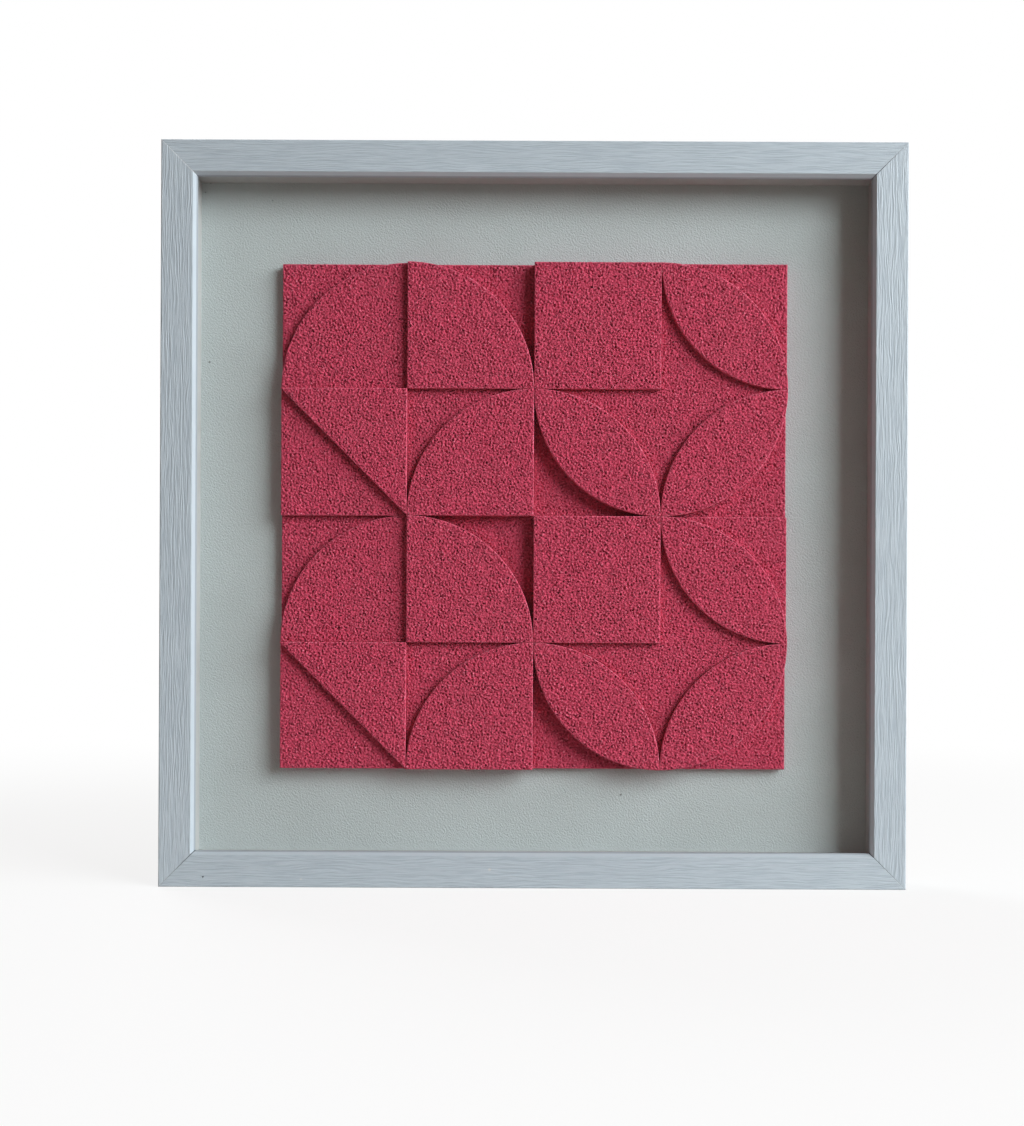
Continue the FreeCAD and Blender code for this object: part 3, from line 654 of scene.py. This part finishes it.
def isInside(spots, outline):
    x, z = spots[:, :1], spots[:, 1:]
    x0, z0 = outline.T
    x1, z1 = np.roll(outline, -1, axis=0).T
    spans = (z0 > z) != (z1 > z)
    crossing = (x1 - x0) * (z - z0) / np.where(z1 == z0, 1, z1 - z0) + x0
    return (spans & (x < crossing)).sum(1) % 2 == 1


def distanceTo(points):  # a function that gives how far spots lie from the nearest of the points
    tree = kdtree.KDTree(len(points))
    for index, (x, z) in enumerate(points):
        tree.insert((x, z, 0), index)
    tree.balance()
    return lambda spots: np.array([tree.find((x, z, 0))[2] for x, z in spots])


def planShape(runs):  # the points and triangles of one shape's face, and how far its edge may round
    fine = np.concatenate(runs)
    outline = np.concatenate([run[::round(relief["spacing"] / relief["fineStep"])] for run in runs])
    following = np.roll(outline, -1, axis=0)
    if (outline[:, 0] * following[:, 1] - outline[:, 1] * following[:, 0]).sum() < 0:
        outline = outline[::-1]
    along = np.roll(outline, -1, axis=0) - np.roll(outline, 1, axis=0)
    inward = np.column_stack((-along[:, 1], along[:, 0])) / np.hypot(*along.T)[:, None]
    distance = distanceTo(fine)
    room = np.full(len(outline), relief["edgeInset"])
    for _ in range(relief["tipTries"]):
        tight = distance(outline + inward * room[:, None]) < relief["tipNearest"] * room
        tight |= ~isInside(outline + inward * room[:, None] * relief["tipAhead"], outline)
        room[tight] *= relief["tipShrink"]
    rim = outline + inward * room[:, None]

    step = relief["spacing"]
    random = np.random.default_rng(relief["seed"])
    low, high = outline.min(0), outline.max(0)
    levels = np.arange(low[1], high[1], step * math.sqrt(0.75))
    grid = np.array([(x, z) for number, z in enumerate(levels)
                     for x in np.arange(low[0] + number % 2 * step / 2, high[0], step)])
    jitter = relief["jitter"] * step
    grid += random.uniform(-jitter, jitter, grid.shape)
    grid = grid[isInside(grid, outline)]
    grid = grid[distance(grid) > relief["edgeInset"] + relief["rimGap"] * step]
    spots = np.concatenate((rim, grid))
    border = [(i, (i + 1) % len(rim)) for i in range(len(rim))]
    flat, _, triangles, *_ = geometry.delaunay_2d_cdt([Vector(spot) for spot in spots], border, [], 1, 1e-6)
    return {"outline": outline, "inward": inward, "room": room,
            "face": np.array([tuple(spot) for spot in flat]), "triangles": triangles}


def noiseField(size, spread, seed):  # a square of repeating noise with features of about one size
    random = np.random.default_rng(seed)
    frequency = np.fft.fftfreq(relief["fieldCells"], relief["fieldCell"])
    radius = np.hypot(*np.meshgrid(frequency, frequency))
    band = np.exp(-((radius * size - 1) / spread) ** 2)
    white = np.fft.fft2(random.standard_normal(radius.shape))
    field = np.fft.ifft2(white * band).real
    return field / field.std()


def readField(field, spots):
    cells = relief["fieldCells"]
    at = spots / relief["fieldCell"]
    low = np.floor(at).astype(int)
    part = at - low
    x0, z0 = low.T % cells
    x1, z1 = (x0 + 1) % cells, (z0 + 1) % cells
    px, pz = part.T
    return ((field[x0, z0] * (1 - px) + field[x1, z0] * px) * (1 - pz)
            + (field[x0, z1] * (1 - px) + field[x1, z1] * px) * pz)


def turned(spots, quarterTurns):  # clockwise as seen from the front
    for _ in range(quarterTurns):
        spots = np.column_stack((spots[:, 1], -spots[:, 0]))
    return spots


def addMesh(name, points, faces, material):
    mesh = bpy.data.meshes.new(name)
    mesh.from_pydata(points, [], faces)
    mesh.polygons.foreach_set("use_smooth", [True] * len(mesh.polygons))
    mesh.materials.append(material)
    mesh.update()
    piece = bpy.data.objects.new(name, mesh)
    bpy.context.scene.collection.objects.link(piece)
    return piece


def makeReliefMaterial():
    material, tree, shader, place = newMaterial("relief_pulp")
    grain = addNode(tree, "ShaderNodeAttribute", attribute_name="grain").outputs["Fac"]
    fine = useGroup(tree, gritGroup, {"Vector": place, "Size": relief["gritSize"], "Sharpness": 4.0})
    clouds = useGroup(tree, gritGroup, {"Vector": place, "Size": 0.03, "Sharpness": 2.4})
    # painted shade: darker towards the pit colour in the grain's hollows; painted highlight: paler towards
    # the tip colour on the grain's tops
    colour = blendColour(tree, fade(tree, grain, *relief["hollowShadeFade"]), relief["pit"], relief["face"])
    colour = blendColour(tree, fade(tree, grain, *relief["tipHighlightFade"]), colour, relief["tip"])
    colour = layer(tree, colour, relief["faded"], clouds["Mask"], relief["fadedStrength"])
    colour = layer(tree, colour, relief["pit"], fine["Mask"], relief["gritStrength"])
    feed(tree, shader, colour=colour, normal=raised(tree, fine["Height"], relief["gritDepth"]),
         roughness=fade(tree, fine["Mask"], 0.0, 1.0, 0.95, 0.82))
    setInputs(shader, {"Specular IOR Level": 0.15, "Sheen Weight": 0.05, "Sheen Roughness": 0.5,
                       "Sheen Tint": seen(240, 150, 165)})
    return material


def makeReliefPiece(name, number, material):
    shape, place = name.rsplit("_", 1)
    row, column = int(place[1]), int(place[3])
    likeName = f"{shape}_r{(row - 1) % rowsPerHalf + 1}c{column}"
    turns = quarterTurns.get(likeName, 0)
    corner = 0.5 if shape == "star" else 0
    middle = (tileCount + 1) / 2
    centre = np.array([(column - corner - middle) * pitch, (middle - row + corner) * pitch])
    low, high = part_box(name)
    front, back = low.y / millimetre, high.y / millimetre
    plan = plans[shape]
    shift = np.array(relief["grainShift"]) * number

    face = turned(plan["face"], turns)
    grain = readField(grainField, face + shift)
    lumps = grain - relief["pitSkew"] * grain ** 2
    sag = readField(sagField, face + shift)
    depth = front - relief["grainHeight"] * lumps - relief["sagHeight"] * sag
    rings = [np.column_stack((face[:, 0], depth, face[:, 1]))]
    grainAndEdgeHighlight = [grain]

    outline = turned(plan["outline"], turns)
    inward = turned(plan["inward"], turns)
    share = plan["room"] / relief["edgeInset"]
    travelled = np.cumsum(np.hypot(*(outline - np.roll(outline, 1, axis=0)).T))
    wall = np.linspace(0, 1, max(2, round((back - front) / relief["wallStep"])))[1:]
    last = relief["edgeRings"][-1][1]
    levels = list(relief["edgeRings"]) + [(0, last + part * (back - front - last)) for part in wall]
    for inset, down in levels:
        onWall = np.column_stack((travelled, np.full_like(travelled, down * 1.3)))
        rough = readField(grainField, onWall - shift)
        bite = relief["ragged"] * np.clip(rough + 0.4, 0, 2.2) * share * (down < last)
        spot = outline + inward * (share * inset - relief["edgeGrow"] + bite)[:, None]
        rings.append(np.column_stack((spot[:, 0], np.full(len(spot), front + down), spot[:, 1])))
        # painted highlight: the edge rings get a raised grain value, so that they take the pale tip colour
        grainAndEdgeHighlight.append(rough + relief["edgeHighlight"] * (down < last))
    points = np.concatenate(rings)
    points[:, 0] += centre[0]
    points[:, 2] += centre[1] + middleZ / millimetre

    count = len(outline)
    starts = [0] + [len(face) + count * i for i in range(len(levels))]
    sides = [(i, (i + 1) % count) for i in range(count)]
    faces = [tuple(t) for t in plan["triangles"]]
    for upper, lower in zip(starts, starts[1:]):
        faces += [(upper + i, lower + i, lower + j, upper + j) for i, j in sides]
    faces.append(tuple(starts[-1] + i for i in reversed(range(count))))
    piece = addMesh(f"{name}_cut", (points * millimetre).tolist(), faces, material)
    # the grain attribute carries the grain heights and, on the edge rings, the painted highlight
    attribute = piece.data.attributes.new("grain", "FLOAT", "POINT")
    attribute.data.foreach_set("value", np.concatenate(grainAndEdgeHighlight).astype(np.float32))
    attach(piece, "root")
    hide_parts(name)
    return sum(len(f) - 2 for f in faces)


makeCamera()
makeLamps()
makeWorld()
makeFloor()
print("studio ready")

plans = {shape: planShape(runs) for shape, runs in outlines.items()}
grainField = noiseField(relief["grain"], relief["grainSpread"], relief["seed"])
sagField = noiseField(relief["sag"], relief["sagSpread"], relief["seed"] + 1)
reliefMaterial = makeReliefMaterial()
reliefNames = sorted(name for name in nodes if name.rsplit("_", 1)[0] in outlines)
triangleCount = sum(makeReliefPiece(name, number, reliefMaterial) for number, name in enumerate(reliefNames))
print("relief made:", len(reliefNames), "pieces,", triangleCount, "triangles")

levelPaint = makeMouldingMaterial("moulding_paint_level", upright=False)
uprightPaint = makeMouldingMaterial("moulding_paint_upright", upright=True)
card = makeSpacerMaterial()
zinc = makeSteelMaterial()
wool = makeFeltMaterial()
finishes = {
    "top_rail": levelPaint, "bottom_rail": levelPaint, "left_rail": uprightPaint, "right_rail": uprightPaint,
    "glass_pane": makeGlassMaterial(), "backing_board": makeBackingMaterial(),
    "back_panel": makePanelMaterial(),
    "top_spacer": card, "right_spacer": card, "bottom_spacer": card, "left_spacer": card,
    "corner_v_nails": zinc, "retaining_points": zinc, "left_hanger": zinc, "right_hanger": zinc,
    "hanger_pins": zinc,
    "left_bumper": wool, "right_bumper": wool,
}
for name, material in finishes.items():
    for slot in nodes[name].material_slots:
        slot.material = material
print("finishes given:", len(finishes))

bpy.context.scene.view_settings.view_transform = "Standard"
